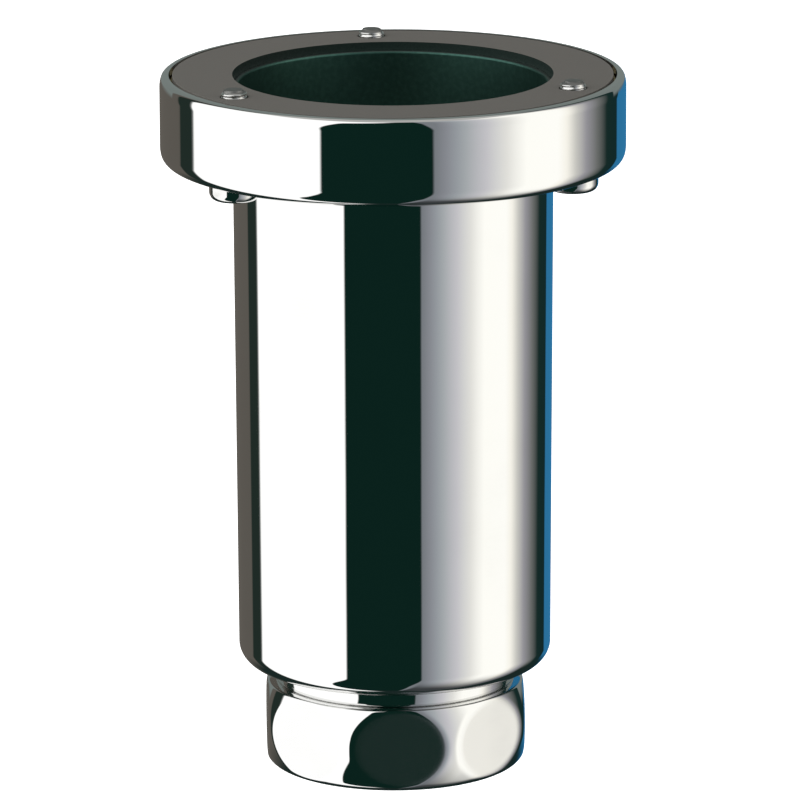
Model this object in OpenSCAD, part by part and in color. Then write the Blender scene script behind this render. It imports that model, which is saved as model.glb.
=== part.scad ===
// Vertical bell trap for a waste outlet: a polished metal cup that is bolted up under a bowl by its flange.
// Water drops into the cup, passes under the rim of a lift-out bell, and leaves through a standpipe.
// The standpipe runs down into a threaded outlet, where a coupling nut grips the tail pipe.
// Z = 0 is the face that meets the bowl, on the trap's axis. The trap hangs below it, and +Z is up.

/* [Flange] */
// Outside diameter of the flange cover
flange_d = 108; // [106:1:114]
// Height of the flange from the bowl down to the face that the screw heads press on
flange_h = 20.3; // [18:0.1:26]
// Thickness of the pressed cover, in its wall and its floor
cover_t = 2.15; // [1.6:0.05:2.4]
// Radius of the cover's lower outside edge
cover_lower_round = 2.7; // [2.6:0.1:5]
// Radius of the cover's upper outside edge
cover_rim_round = 1.2; // [0.6:0.1:1.7]
// Thickness of the flat gasket
gasket_t = 1.9; // [1.5:0.1:3]
// Gap between the gasket's edge and the cover's rim
gasket_gap = 0.85; // [0.5:0.05:1.5]
// Diameter of the opening in the gasket
mouth_d = 74.2; // [73.4:0.1:74.8]

/* [Flange screws] */
// Number of screws through the flange
screw_count = 3; // [3:1:6]
// Diameter of the circle that the screws stand on
screw_circle_d = 90; // [89:0.5:91]
// Nominal diameter of the screw thread
screw_d = 6; // [5:0.5:6]
// Height that the screw tips stand out of the gasket
screw_proud = 1.8; // [1:0.1:4]
// Angle of the first screw about the axis, from +X
screw_angle = 96.5; // [0:0.5:120]
// Diameter of a screw's round head
head_d = 11.8; // [10:0.1:12.4]
// Height of a screw head
head_h = 3.7; // [3:0.1:5]
// Radius of the lower edge of a screw head
head_round = 2; // [0.5:0.1:2.4]
// Angle at which the first screw's slot stopped when it was tightened
slot_turn = 86; // [0:1:90]
// Angle by which each next slot stopped further round
slot_turn_step = 62; // [0:1:90]

/* [Body cup] */
// Outside diameter of the cup inside the flange
body_d = 74.4; // [74.2:0.1:74.8]
// Outside diameter of the cup above its lower edge: it narrows a little on the way down
body_low_d = 73.2; // [72.8:0.1:74.2]
// Length of the cup from its lip to the outside of its floor
body_l = 138.4; // [130:0.2:180]
// Thickness of the cup's wall
body_wall = 1.5; // [1.2:0.1:2]
// Thickness of the cup's floor
body_floor = 2.5; // [2:0.1:3.5]
// Radius of the cup's lower outside edge
body_round = 4.8; // [3:0.1:5]
// Width of the turned-out lip beyond the cup's outside
lip_w = 2.75; // [2:0.05:3]

/* [Outlet] */
// Outside diameter of the outlet thread
thread_d = 47.8; // [47.4:0.1:48]
// Pitch of the outlet thread
pitch = 2.309; // [2:0.001:2.309]
// Depth of the outlet thread
thread_depth = 1.3; // [1:0.1:1.4]
// Diameter of the bore that takes the tail pipe
pipe_bore_d = 40.6; // [40.4:0.1:40.8]
// Diameter of the collar between the cup and the coupling nut
collar_d = 56; // [54:0.5:57]
// Height of the collar
collar_h = 4.3; // [3:0.1:5]
// Outside diameter of the outlet's neck inside the cup
neck_d = 42; // [41.6:0.1:42.4]
// Height of the neck above the cup's floor
neck_h = 11; // [10:0.5:14]

/* [Coupling nut] */
// Height of the nut
nut_h = 20; // [20:0.1:22]
// Width of the nut across opposite flats
nut_af = 60.4; // [59:0.1:61]
// Largest diameter of the turned barrel between the flats
nut_barrel_d = 64.1; // [63.4:0.1:65]
// Radius of the barrel's arc from top to bottom
nut_arc_r = 23; // [20:0.5:26]
// Height of the widest place of the barrel above the nut's lower face
nut_arc_z = 10.5; // [9:0.1:11]
// Radius of the nut's lower outside edge
nut_lower_round = 3.2; // [2.5:0.1:4]
// Radius of the nut's upper outside edge
nut_upper_round = 0.7; // [0.4:0.1:1.5]
// Angle of one flat about the axis, from -Y towards +X
nut_angle = 2.2; // [0:0.1:45]
// Number of flats on the nut
nut_flats = 8; // [6:2:12]
// Thickness of the nut's inward lip
nut_lip_t = 3; // [2.5:0.1:3.5]

/* [Standpipe] */
// Bore of the standpipe
standpipe_bore_d = 30.4; // [28:0.2:30.6]
// Thickness of the standpipe's wall
standpipe_wall = 2; // [1.8:0.1:2.2]
// Depth of the standpipe's top edge, where water spills over, below the bowl
spill_depth = 52; // [50:1:60]

/* [Bell] */
// Outside diameter of the bell
bell_d = 57; // [54:1:60]
// Thickness of the bell's wall
bell_wall = 2; // [1.6:0.1:2.4]
// Depth of the water seal, from the spill edge to the bell's rim
water_seal = 50; // [40:1:55]
// Clear height between the spill edge and the bell's ceiling
bell_headroom = 10.5; // [10:0.5:12]
// Number of ribs that carry the bell on the standpipe
rib_count = 4; // [3:1:6]
// Thickness of a rib
rib_t = 2; // [1.5:0.1:3]
// Diameter of the lifting knob
knob_d = 16; // [12:1:22]

/* [Hidden] */
$fn = 96;

// Gaps between fitted pieces
loose = 0.25;        // beside a piece that is only clamped
running = 0.08;      // round a piece that turns or slides
snug = 0.02;         // round a seal or thread that does not move
over = 1;            // how far a cutting shape runs past the face it cuts

// Shapes that repeat
hex_sides = 6;
crest_land = 0.06;   // half the flat on a thread's crest, as a share of the pitch
root_land = 0.06;    // half the flat at a thread's root, as a share of the pitch
thread_lap = 0.05;   // how far a thread groove starts outside its crest

// Flange
flange_r = flange_d / 2;
flange_z = -flange_h;
seat_z = -gasket_t;
cover_in_r = flange_r - cover_t;
gasket_r = cover_in_r - gasket_gap;
body_r = body_d / 2;
body_low_r = body_low_d / 2;
body_in_r = body_r - body_wall;
ring_r = cover_in_r - loose;
ring_in_r = body_r + loose;
ring_z = flange_z + cover_t;
ring_wall = 2;
ring_plate_t = 4.5;
boss_r = 5;
lip_r = body_r + lip_w;

// Screws
screw_r = screw_d / 2;
screw_circle_r = screw_circle_d / 2;
screw_play = 0.3;
screw_hole_r = screw_r + screw_play;
screw_shank_r = screw_r - 0.35;
screw_chamfer = 0.9;
head_z = flange_z - head_h;
slot_w = 1.6;
slot_depth = 1.4;

// Body cup
body_z = seat_z - body_l;
floor_z = body_z + body_floor;
mouth_round = 0.7;

// Outlet spigot and its seals
thread_r = thread_d / 2;
thread_root_r = thread_r - thread_depth;
pipe_bore_r = pipe_bore_d / 2;
collar_r = collar_d / 2;
collar_z = body_z - collar_h;
collar_round = 0.5;
neck_r = neck_d / 2;
neck_top_z = floor_z + neck_h;
thread_turns = 5;
thread_run_out = 1;
thread_start = 0.1 * pitch;
spigot_z = collar_z - thread_run_out - thread_start - thread_turns * pitch;
socket_z = collar_z;
counterbore_lift = 0.4;
counterbore_z = body_z + counterbore_lift;
counterbore_r = 18.5;
seat_bevel = 1.6;
seat_bevel_h = 2.4;
ring_seal_r = 1.1;
collar_groove_r = 24.6;
spigot_seal_t = 2;
spigot_seal_r = 29;
back_nut_af = 52;
back_nut_h = 6;
back_nut_z = floor_z + spigot_seal_t;
neck_pitch = 1.5;
neck_thread_depth = 0.8;
neck_turns = floor((neck_top_z - back_nut_z) / neck_pitch);

// Standpipe
standpipe_in_r = standpipe_bore_d / 2;
standpipe_r = standpipe_in_r + standpipe_wall;
plug_play = 0.15;
plug_r = counterbore_r - plug_play;
plug_shoulder_h = 2;
plug_top_z = neck_top_z + plug_shoulder_h;
plug_groove_r = 16.4;
plug_groove_h = 2.6;
plug_groove_depth = 6;
plug_groove_z = neck_top_z - plug_groove_depth;
spill_z = -spill_depth;

// Bell and its knob
bell_r = bell_d / 2;
bell_in_r = bell_r - bell_wall;
bell_rim_z = spill_z - water_seal;
bell_ceiling_z = spill_z + bell_headroom;
bell_top_z = bell_ceiling_z + bell_wall;
bell_round = 7;
rib_overhang = 1;
rib_in_r = standpipe_in_r - rib_overhang;
rib_grip = 9;
knob_stud_r = 2.5;
knob_neck_r = 3.6;
knob_head_t = 4.5;
knob_h = 14;
knob_foot_r = 6.5;
knob_foot_t = 1.6;
knob_seal_t = 1.2;
knob_z = bell_top_z + knob_seal_t;
knob_top_z = knob_z + knob_h;
knob_head_round = 1.6;
knob_nut_af = 8;
knob_nut_h = 4;
knob_stud_end = 1.5;
knob_stud_z = bell_ceiling_z - knob_nut_h - knob_stud_end;

// Coupling nut, seal and ring
nut_z = collar_z - nut_h;
nut_barrel_r = nut_barrel_d / 2;
nut_bore_r = thread_r + running;
nut_cavity_play = 0.9;
nut_cavity_r = thread_r + nut_cavity_play;
nut_lip_z = nut_z + nut_lip_t;
thrust_t = 1.5;
thrust_play = 0.3;
thrust_r = nut_cavity_r - thrust_play;
cone_z = nut_lip_z + thrust_t;
cone_inset = 0.6;
cone_r = thread_r - cone_inset;
cone_gap = 0.3;
cone_tip_t = 0.2;
cone_tip_h = 1.5;
nut_relief_h = 1.5;
nut_thread_z = cone_z + nut_relief_h;
nut_turns = floor((collar_z - nut_thread_z) / pitch);
nut_arc_x = nut_barrel_r - nut_arc_r;
nut_low_arm = nut_arc_r - nut_lower_round;
nut_low_drop = nut_arc_z - nut_lower_round;
nut_low_x = nut_arc_x + sqrt(nut_low_arm ^ 2 - nut_low_drop ^ 2);
nut_low_tangent_z = nut_arc_z - nut_low_drop * nut_arc_r / nut_low_arm;
nut_high_arm = nut_arc_r - nut_upper_round;
nut_high_rise = nut_h - nut_upper_round - nut_arc_z;
nut_high_x = nut_arc_x + sqrt(nut_high_arm ^ 2 - nut_high_rise ^ 2);
nut_high_tangent_z = nut_arc_z + nut_high_rise * nut_arc_r / nut_high_arm;

// A ring with a square section between two heights
module tube(r_in, r_out, z_low, z_high) {
  rotate_extrude()
    translate([r_in, z_low])
      square([r_out - r_in, z_high - z_low]);
}

// The sliver that a radius takes off a corner at the origin, where the shape lies below and to the left
module corner_sliver(r) {
  difference() {
    translate([-r, -r])
      square(r + over);
    translate([-r, -r])
      circle(r);
  }
}

// The half outline of a round post, from the axis out to r, with its lower edge rounded
module post_outline(r, z_low, z_high, low_round) {
  difference() {
    translate([0, z_low])
      square([r, z_high - z_low]);
    translate([r, z_low])
      mirror([0, 1])
        corner_sliver(low_round);
  }
}

// The half outline of a round cap, from the axis out to r, with its upper edge rounded
module cap_outline(r, z_low, z_high, high_round) {
  difference() {
    translate([0, z_low])
      square([r, z_high - z_low]);
    translate([r, z_high])
      corner_sliver(high_round);
  }
}

// Children repeated on the circle of flange screws, each turned a step further about its own axis
module at_screws(turn = 0, turn_step = 0) {
  for (i = [0 : screw_count - 1])
    rotate([0, 0, screw_angle + i * 360 / screw_count])
      translate([screw_circle_r, 0, 0])
        rotate([0, 0, turn + i * turn_step])
          children();
}

// The through holes for the flange screws
module screw_holes(z_low, z_high) {
  at_screws()
    translate([0, 0, z_low - over])
      cylinder(r = screw_hole_r, h = z_high - z_low + 2 * over);
}

// A six-sided prism that stands on z_low
module hexagon(across_flats, z_low, h) {
  translate([0, 0, z_low])
    cylinder(r = across_flats / 2 / cos(180 / hex_sides), h = h, $fn = hex_sides);
}

// The V-shaped turns of a thread on radius r, as rings; a negative depth cuts inwards
module thread_grooves(r, depth, z_low, turns, step) {
  for (i = [0 : turns - 1])
    rotate_extrude()
      translate([r, z_low + i * step])
        polygon([
          [-sign(depth) * thread_lap, step * crest_land],
          [depth, step * (0.5 - root_land)],
          [depth, step * (0.5 + root_land)],
          [-sign(depth) * thread_lap, step * (1 - crest_land)]
        ]);
}

// Pressed cover: the polished outside of the flange, clamped from below by the screws
module flange_cover() {
  color("silver")
    difference() {
      rotate_extrude()
        difference() {
          intersection() {
            post_outline(flange_r, flange_z, 0, cover_lower_round);
            cap_outline(flange_r, flange_z, 0, cover_rim_round);
          }
          post_outline(cover_in_r, ring_z, over, cover_lower_round - cover_t);
          translate([0, flange_z - over])
            square([ring_in_r, flange_h]);
        }
      screw_holes(flange_z, ring_z);
    }
}

// Cast ring inside the cover: it carries the cup's lip and takes the screws through its bosses
module flange_ring() {
  color("darkkhaki")
    difference() {
      rotate_extrude()
        difference() {
          post_outline(ring_r, ring_z, seat_z, cover_lower_round - cover_t);
          translate([0, ring_z - over])
            square([ring_in_r, flange_h]);
        }
      difference() {
        tube(ring_in_r + ring_wall, ring_r - ring_wall, ring_z - over, seat_z - ring_plate_t);
        at_screws()
          translate([0, 0, ring_z - 2 * over])
            cylinder(r = boss_r, h = seat_z - ring_plate_t - ring_z + 3 * over);
      }
      tube(ring_in_r - over, lip_r + loose, seat_z - body_wall, seat_z + over);
      screw_holes(ring_z, seat_z);
    }
}

// Flat gasket that lies level with the cover's rim
module flange_gasket() {
  color("dimgray")
    difference() {
      tube(mouth_d / 2, gasket_r, seat_z, 0);
      screw_holes(seat_z, 0);
    }
}

// Slotted pan-head screws with a reduced shank, put in from below; their tips stand out of the gasket
module flange_screws() {
  color("gainsboro")
    at_screws(slot_turn, slot_turn_step) {
      tube(0, screw_shank_r, flange_z - over, over / 2);
      tube(0, screw_r, 0, screw_proud - screw_chamfer);
      translate([0, 0, screw_proud - screw_chamfer])
        cylinder(r1 = screw_r, r2 = screw_r - screw_chamfer, h = screw_chamfer);
      difference() {
        rotate_extrude()
          post_outline(head_d / 2, head_z, flange_z, head_round);
        translate([-head_d / 2 - over, -slot_w / 2, head_z - over])
          cube([head_d + 2 * over, slot_w, slot_depth + over]);
      }
    }
}

// The half outline of the cup, from the axis out to its wall, or to that far inside its outer surface
module cup_outline(inset, z_low, z_high, low_round) {
  post_outline(body_low_r - inset, z_low, z_low + 2 * low_round, low_round);
  polygon([
    [0, z_low + low_round],
    [body_low_r - inset, z_low + low_round],
    [body_r - inset, flange_z],
    [body_r - inset, z_high],
    [0, z_high]
  ]);
}

// Drawn cup: the polished body, with its lip turned out over the cast ring
module body_cup() {
  color("whitesmoke")
    rotate_extrude()
      difference() {
        union() {
          cup_outline(0, body_z, seat_z, body_round);
          translate([0, seat_z - body_wall])
            square([lip_r, body_wall]);
        }
        cup_outline(body_wall, floor_z, seat_z + over, body_round - body_wall);
        translate([body_in_r, seat_z])
          mirror([1, 0])
            corner_sliver(mouth_round);
        translate([0, body_z - over])
          square([neck_r + loose, body_floor + 2 * over]);
      }
}

// Threaded outlet: socket for the tail pipe, collar below the cup, and neck for the back nut
module outlet_spigot() {
  color("lightsteelblue")
    difference() {
      union() {
        tube(0, thread_r, spigot_z, collar_z - thread_run_out);
        tube(0, thread_root_r, collar_z - thread_run_out - over, collar_z + over);
        rotate_extrude()
          intersection() {
            post_outline(collar_r, collar_z, body_z, collar_round);
            cap_outline(collar_r, collar_z, body_z, collar_round);
          }
        tube(0, neck_r, body_z - over, neck_top_z);
      }
      thread_grooves(thread_r, -thread_depth, spigot_z + thread_start, thread_turns, pitch);
      thread_grooves(neck_r, -neck_thread_depth, back_nut_z, neck_turns, neck_pitch);
      tube(0, pipe_bore_r, spigot_z - over, socket_z);
      tube(0, standpipe_in_r, socket_z - over, counterbore_z + over);
      tube(0, counterbore_r, counterbore_z, neck_top_z + over);
      translate([0, 0, spigot_z])
        cylinder(r1 = pipe_bore_r + seat_bevel, r2 = pipe_bore_r, h = seat_bevel_h);
      tube(
        collar_groove_r - ring_seal_r - snug, collar_groove_r + ring_seal_r + snug,
        body_z - 2 * ring_seal_r - snug, body_z + over
      );
    }
}

// Ring seal in the collar's groove, against the outside of the cup's floor
module collar_seal() {
  color("black")
    rotate_extrude()
      translate([collar_groove_r, body_z - ring_seal_r])
        circle(ring_seal_r);
}

// Flat seal between the cup's floor and the back nut
module spigot_seal() {
  color("saddlebrown")
    tube(neck_r + loose, spigot_seal_r, floor_z, back_nut_z);
}

// Hexagonal back nut that clamps the outlet to the cup from inside
module back_nut() {
  color("goldenrod")
    difference() {
      hexagon(back_nut_af, back_nut_z, back_nut_h);
      tube(0, neck_r + snug, back_nut_z - over, back_nut_z + back_nut_h + over);
    }
}

// Standpipe: its top edge sets the water level, and its plug sits in the outlet
module standpipe() {
  color("ivory")
    difference() {
      union() {
        tube(0, plug_r, counterbore_z, plug_top_z);
        tube(0, standpipe_r, plug_top_z - over, spill_z);
      }
      tube(0, standpipe_in_r, counterbore_z - over, spill_z + over);
      tube(plug_groove_r, plug_r + over, plug_groove_z, plug_groove_z + plug_groove_h);
    }
}

// Ring seal in the plug's groove
module standpipe_seal() {
  color("black")
    rotate_extrude()
      translate([(plug_groove_r + counterbore_r) / 2, plug_groove_z + plug_groove_h / 2])
        circle((counterbore_r - plug_groove_r) / 2 - snug);
}

// Bell: an upturned cup whose rim dips below the water, carried by ribs on the standpipe
module bell() {
  color("beige")
    difference() {
      union() {
        rotate_extrude()
          difference() {
            cap_outline(bell_r, bell_rim_z, bell_top_z, bell_round);
            cap_outline(bell_in_r, bell_rim_z - over, bell_ceiling_z, bell_round - bell_wall);
          }
        intersection() {
          rotate_extrude()
            cap_outline(bell_r - bell_wall / 2, bell_rim_z, bell_top_z - bell_wall / 2, bell_round);
          for (i = [0 : rib_count - 1])
            rotate([0, 0, (i + 0.5) * 360 / rib_count])
              bell_rib();
        }
      }
      tube(0, knob_stud_r + snug, bell_ceiling_z - over, bell_top_z + over);
    }
}

// One rib: it rests on the standpipe's edge, and its tail keeps the bell central
module bell_rib() {
  translate([rib_in_r, -rib_t / 2, spill_z])
    cube([bell_r - rib_in_r, rib_t, bell_headroom + over]);
  translate([standpipe_r + loose, -rib_t / 2, spill_z - rib_grip])
    cube([bell_r - standpipe_r - loose, rib_t, rib_grip + over]);
}

// Turned knob that lifts the bell out
module bell_knob() {
  color("silver")
    rotate_extrude()
      union() {
        intersection() {
          cap_outline(knob_d / 2, knob_top_z - knob_head_t, knob_top_z, knob_head_round);
          post_outline(knob_d / 2, knob_top_z - knob_head_t, knob_top_z, knob_head_round);
        }
        translate([0, knob_z])
          square([knob_neck_r, knob_h - over]);
        cap_outline(knob_foot_r, knob_z, knob_z + knob_foot_t, collar_round);
        translate([0, knob_stud_z])
          square([knob_stud_r, knob_z - knob_stud_z + over]);
      }
}

// Washer that keeps air from passing through the bell beside the knob's stud
module knob_seal() {
  color("black")
    tube(knob_stud_r + snug, knob_foot_r, bell_top_z, knob_z);
}

// Nut that holds the knob from inside the bell
module knob_nut() {
  color("goldenrod")
    difference() {
      hexagon(knob_nut_af, bell_ceiling_z - knob_nut_h, knob_nut_h);
      tube(0, knob_stud_r + snug, knob_stud_z - over, bell_ceiling_z + over);
    }
}

// Rubber seal that grips the tail pipe, with a cone that enters the outlet's mouth
module cone_seal() {
  color("black")
    rotate_extrude()
      polygon([
        [pipe_bore_r, cone_z],
        [cone_r, cone_z],
        [cone_r, spigot_z - cone_gap],
        [pipe_bore_r + seat_bevel - cone_gap, spigot_z - cone_gap],
        [pipe_bore_r + cone_tip_t, spigot_z + cone_tip_h],
        [pipe_bore_r, spigot_z + cone_tip_h]
      ]);
}

// Slip ring that lets the nut turn without dragging the seal
module thrust_ring() {
  color("white")
    tube(pipe_bore_r, thrust_r, nut_lip_z, cone_z);
}

// The half outline of the nut: a barrel arc that runs smoothly into the rounded edges
module nut_outline() {
  intersection() {
    translate([nut_arc_x, nut_arc_z])
      circle(nut_arc_r);
    union() {
      translate([0, nut_low_tangent_z])
        square([nut_barrel_r, nut_high_tangent_z - nut_low_tangent_z]);
      square([nut_low_x, nut_h / 2]);
      translate([0, nut_h / 2])
        square([nut_high_x, nut_h / 2]);
      translate([nut_low_x, nut_lower_round])
        circle(nut_lower_round);
      translate([nut_high_x, nut_h - nut_upper_round])
        circle(nut_upper_round);
    }
  }
}

// Coupling nut: a turned barrel with polished flats, threaded onto the outlet
module coupling_nut() {
  color("gainsboro")
    difference() {
      translate([0, 0, nut_z])
        intersection() {
          rotate_extrude()
            nut_outline();
          rotate([0, 0, nut_angle - 90 - 180 / nut_flats])
            cylinder(r = nut_af / 2 / cos(180 / nut_flats), h = nut_h, $fn = nut_flats);
        }
      tube(0, pipe_bore_r, nut_z - over, nut_lip_z + over);
      tube(0, nut_cavity_r, nut_lip_z, nut_thread_z);
      tube(0, nut_bore_r, nut_thread_z - over, collar_z + over);
      thread_grooves(nut_bore_r, thread_depth, nut_thread_z, nut_turns, pitch);
    }
}

flange_cover();
flange_ring();
flange_gasket();
flange_screws();
body_cup();
outlet_spigot();
collar_seal();
spigot_seal();
back_nut();
standpipe();
standpipe_seal();
bell();
bell_knob();
knob_seal();
knob_nut();
cone_seal();
thrust_ring();
coupling_nut();
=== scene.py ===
"""Looks of a chrome-plated bell trap that hangs from its flange, in metres and in the CAD frame."""

import math

import bpy
import bmesh
from mathutils import Matrix, Vector


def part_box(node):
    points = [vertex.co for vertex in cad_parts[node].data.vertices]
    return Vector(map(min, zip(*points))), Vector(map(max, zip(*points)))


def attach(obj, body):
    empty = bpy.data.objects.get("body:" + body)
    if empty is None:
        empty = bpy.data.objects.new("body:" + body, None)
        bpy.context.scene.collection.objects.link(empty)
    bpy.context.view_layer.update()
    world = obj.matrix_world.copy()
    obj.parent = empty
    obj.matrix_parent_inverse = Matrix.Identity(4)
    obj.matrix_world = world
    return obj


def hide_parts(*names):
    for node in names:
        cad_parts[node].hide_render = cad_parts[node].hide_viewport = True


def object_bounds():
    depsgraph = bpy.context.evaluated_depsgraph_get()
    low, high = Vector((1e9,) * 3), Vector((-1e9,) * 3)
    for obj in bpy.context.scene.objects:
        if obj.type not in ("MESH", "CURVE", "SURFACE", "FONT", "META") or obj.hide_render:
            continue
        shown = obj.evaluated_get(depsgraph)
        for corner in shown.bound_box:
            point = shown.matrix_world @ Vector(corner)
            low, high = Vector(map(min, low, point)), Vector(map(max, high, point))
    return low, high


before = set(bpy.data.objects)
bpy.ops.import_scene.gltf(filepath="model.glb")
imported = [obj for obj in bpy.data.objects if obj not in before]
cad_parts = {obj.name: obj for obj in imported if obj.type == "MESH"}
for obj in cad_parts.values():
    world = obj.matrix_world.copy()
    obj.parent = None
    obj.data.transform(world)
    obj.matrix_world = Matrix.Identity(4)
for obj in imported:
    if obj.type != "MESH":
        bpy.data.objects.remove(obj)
cad_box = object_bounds()

MM = 0.001
TURN = 2 * math.pi
DEGREES = 360 / TURN

# Camera: a long lens, a little above the flange, that looks along +Y
CAMERA_DISTANCE = 1.8
CAMERA_ELEVATION = 13.86
CAMERA_ROLL = -0.19
CAMERA_LENS = 346.8
CAMERA_SENSOR = 36
AIM = Vector((1.41 * MM, 0, -77.85 * MM))

# Floor: the trap hangs well above it, so that the nut can travel down and be seen from below
FLOOR_DROP = 1.5
FLOOR_RADIUS = 16
FLOOR_GLOW = 0.95
FLOOR_TONES = ((0.93, 0.93, 0.93), (0.96, 0.96, 0.96))

# Light: one large soft disc above the camera's left shoulder
LIGHT_PLACE = (-0.9, -1.1, 1.5)
LIGHT_SIZE = 1.2
LIGHT_POWER = 14

# Cover, gasket and cup: what the boxes of their CAD nodes do not give
COVER_T = 2.15 * MM
COVER_LOWER_ROUND = 2.7 * MM
COVER_RIM_ROUND = 1.2 * MM
COVER_SOFT_ROUND = 6.5 * MM
COVER_SOFT_TURN = 17
COVER_FOOT_TURN = 14
COVER_HOLE_R = 37.45 * MM
GASKET_HOLE_R = 37.1 * MM
CUP_R = 37.2 * MM
CUP_LOW_R = 36.6 * MM
CUP_WALL = 1.5 * MM
CUP_FLOOR = 2.5 * MM
CUP_ROUND = 4.8 * MM
CUP_HOLE_R = 21.25 * MM
LIP_R = 39.95 * MM
MOUTH_ROUND = 0.7 * MM

# Flange screws
SCREW_HOLE_R = 3.3 * MM
SCREW_COUNT = 3
SCREW_ANGLE = 96.5
SCREW_CIRCLE_R = 45 * MM
SCREW_R = 3 * MM
SCREW_SHANK_R = 2.65 * MM
SCREW_TIP_CHAMFER = 0.9 * MM
SCREW_END_DROP = 0.02 * MM
SCREW_RUN_IN = 0.05 * MM
SCREW_PITCH = 1 * MM
SCREW_THREAD_DEPTH = 0.25 * MM
HEAD_R = 5.9 * MM
HEAD_H = 3.7 * MM
HEAD_ROUND = 2 * MM
HEAD_BEVEL = 0.15 * MM
SLOT_W = 1.6 * MM
SLOT_DEPTH = 1.4 * MM
SLOT_TURN = 86
SLOT_TURN_STEP = 62

# Thread form, as shares of the pitch; then the outlet, its neck in the cup, and the standpipe's seat
CREST_LAND = 0.06
FLANK = 0.38
OUTLET_PITCH = 2.309 * MM
OUTLET_DEPTH = 1.3 * MM
OUTLET_THREAD_R = 23.9 * MM
OUTLET_RUN_OUT = 1 * MM
OUTLET_CHAMFER = 0.9 * MM
OUTLET_FADE = 0.8 * MM
PIPE_BORE_R = 20.3 * MM
COLLAR_R = 28 * MM
COLLAR_H = 4.3 * MM
COLLAR_ROUND = 0.5 * MM
NECK_R = 21 * MM
NECK_PITCH = 1.5 * MM
NECK_DEPTH = 0.8 * MM
NECK_FADE = 0.6 * MM
STANDPIPE_R = 15.2 * MM
COUNTERBORE_R = 18.5 * MM
COUNTERBORE_LIFT = 0.4 * MM
SEAL_GROOVE_IN_R = 23.48 * MM
SEAL_GROOVE_OUT_R = 25.72 * MM
SEAL_GROOVE_H = 2.22 * MM
EDGE_BEVEL = 0.3 * MM
SEAT_BEVEL = 1.6 * MM
SEAT_BEVEL_H = 2.4 * MM

# Coupling nut
NUT_AF = 60.4 * MM
NUT_BARREL_R = 32.05 * MM
NUT_ARC_R = 23 * MM
NUT_ARC_H = 10.5 * MM
NUT_LOWER_ROUND = 3.2 * MM
NUT_UPPER_ROUND = 0.7 * MM
NUT_ANGLE = 2.2
NUT_FLATS = 8
NUT_SOFTNESS = 0.5 * MM
NUT_LIP = 3 * MM
NUT_CAVITY_R = 24.8 * MM
NUT_THREAD_H = 6 * MM
NUT_BORE_R = 23.98 * MM
NUT_BORE_BEVEL = 0.5 * MM
NUT_FADE = 0.7 * MM

# The studio as bands of colour by bearing in degrees: 0 is towards the camera, 90 to its right
BANDS = [
    (-180, (0.122, 0.112, 0.098)),
    (-131, (0.122, 0.112, 0.098)),
    (-129.5, (0.018, 0.03, 0.025)),
    (-117, (0.018, 0.03, 0.025)),
    (-115.2, (1.3, 1.3, 1.3)),
    (-6, (1.3, 1.3, 1.3)),
    (8, (0.22, 0.238, 0.264)),
    (21, (0.226, 0.244, 0.27)),
    (26, (0.294, 0.308, 0.344)),
    (31, (0.365, 0.392, 0.428)),
    (36, (0.452, 0.483, 0.509)),
    (41.4, (0.57, 0.578, 0.614)),
    (46.7, (0.674, 0.666, 0.706)),
    (52, (0.797, 0.797, 0.797)),
    (57.6, (0.931, 0.922, 0.885)),
    (63, (1.1, 1.09, 1.04)),
    (69, (1.24, 1.23, 1.17)),
    (89, (1.24, 1.23, 1.18)),
    (95, (1.15, 1.12, 1.03)),
    (102, (0.706, 0.698, 0.659)),
    (110.5, (0.365, 0.359, 0.392)),
    (120.5, (0.176, 0.184, 0.18)),
    (131, (0.0094, 0.028, 0.025)),
    (180, (0.002, 0.021, 0.033)),
]
BAND_EDGE = 0.9

# The dark doorway between the two large cards, by bearing and elevation in degrees
DOOR = (0.004, 0.0195, 0.015)
DOOR_LEFT = -35.7
DOOR_RIGHT = 19.8
DOOR_FOOT = (-14, -90)
DOOR_FOOT_FLARE = 54
DOOR_HEAD = (-4, 88)
DOOR_HEAD_LEAN = 50
DOOR_MIDDLE = -14
DOOR_NARROW_FROM = (4, 46)
DOOR_NARROW = 6

# The blue card behind the trap's right side, and the wall above it
BLUE = (0.028, 0.19, 0.39)
BLUE_LEFT = 145.5
BLUE_HEIGHTS = (-27, -18.5, -8, -1)
WALL = (0.2, 0.232, 0.222)
WALL_BEARING = 138

# Where the room darkens downwards: below the right card, at the foot of the wall, and underfoot
LOW_RIGHT = (0.05, 0.055, 0.06)
LOW_RIGHT_FROM = (-26, -74)
LOW_RIGHT_EDGE = 4
FOOT_BEARING = 118
FOOT_FROM = (-20, -36)
FOOT_EDGE = 6
UNDERFOOT = (0.012, 0.024, 0.022)
UNDERFOOT_FROM = (-79, -87)

# Overhead, and what the camera itself sees
OVERHEAD = (0.5, 0.5, 0.49)
OVERHEAD_FROM = (54, 62)
BACKDROP = (1, 1, 1)

# Colours; the painted shade inside the cup and on its lip, and on the gasket the painted highlights at its
# edges and the painted shade on its inner wall
PLATE = (0.80, 0.80, 0.79)
CUP_PAINTED_SHADE = ((0.055, 0.135, 0.11), (0.072, 0.168, 0.138))
CUP_DULL_ROUGHNESS = 0.42
LIP_PAINTED_SHADE = (0.075, 0.098, 0.09)
FLAT_EDGE = (0.2 * MM, 0.03 * MM)
EDGE_HIGHLIGHT_WIDTH = 0.45 * MM
GASKET_WALL_SHADE = (0.008, 0.02, 0.016)
GASKET_WALL_SHADE_DEPTH = 0.06 * MM


# ---------------------------------------------------------------- node helpers
def add(tree, kind, inputs=None, **settings):
    """A new node; an input takes a value or another node's output."""
    made = tree.nodes.new(kind)
    for key, value in settings.items():
        setattr(made, key, value)
    for key, value in (inputs or {}).items():
        if isinstance(value, bpy.types.NodeSocket):
            tree.links.new(value, made.inputs[key])
        else:
            made.inputs[key].default_value = value
    return made


def calc(tree, operation, *values):
    """The output of a Math node."""
    inputs = dict(enumerate(values))
    return add(tree, "ShaderNodeMath", inputs, operation=operation).outputs[0]


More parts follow.
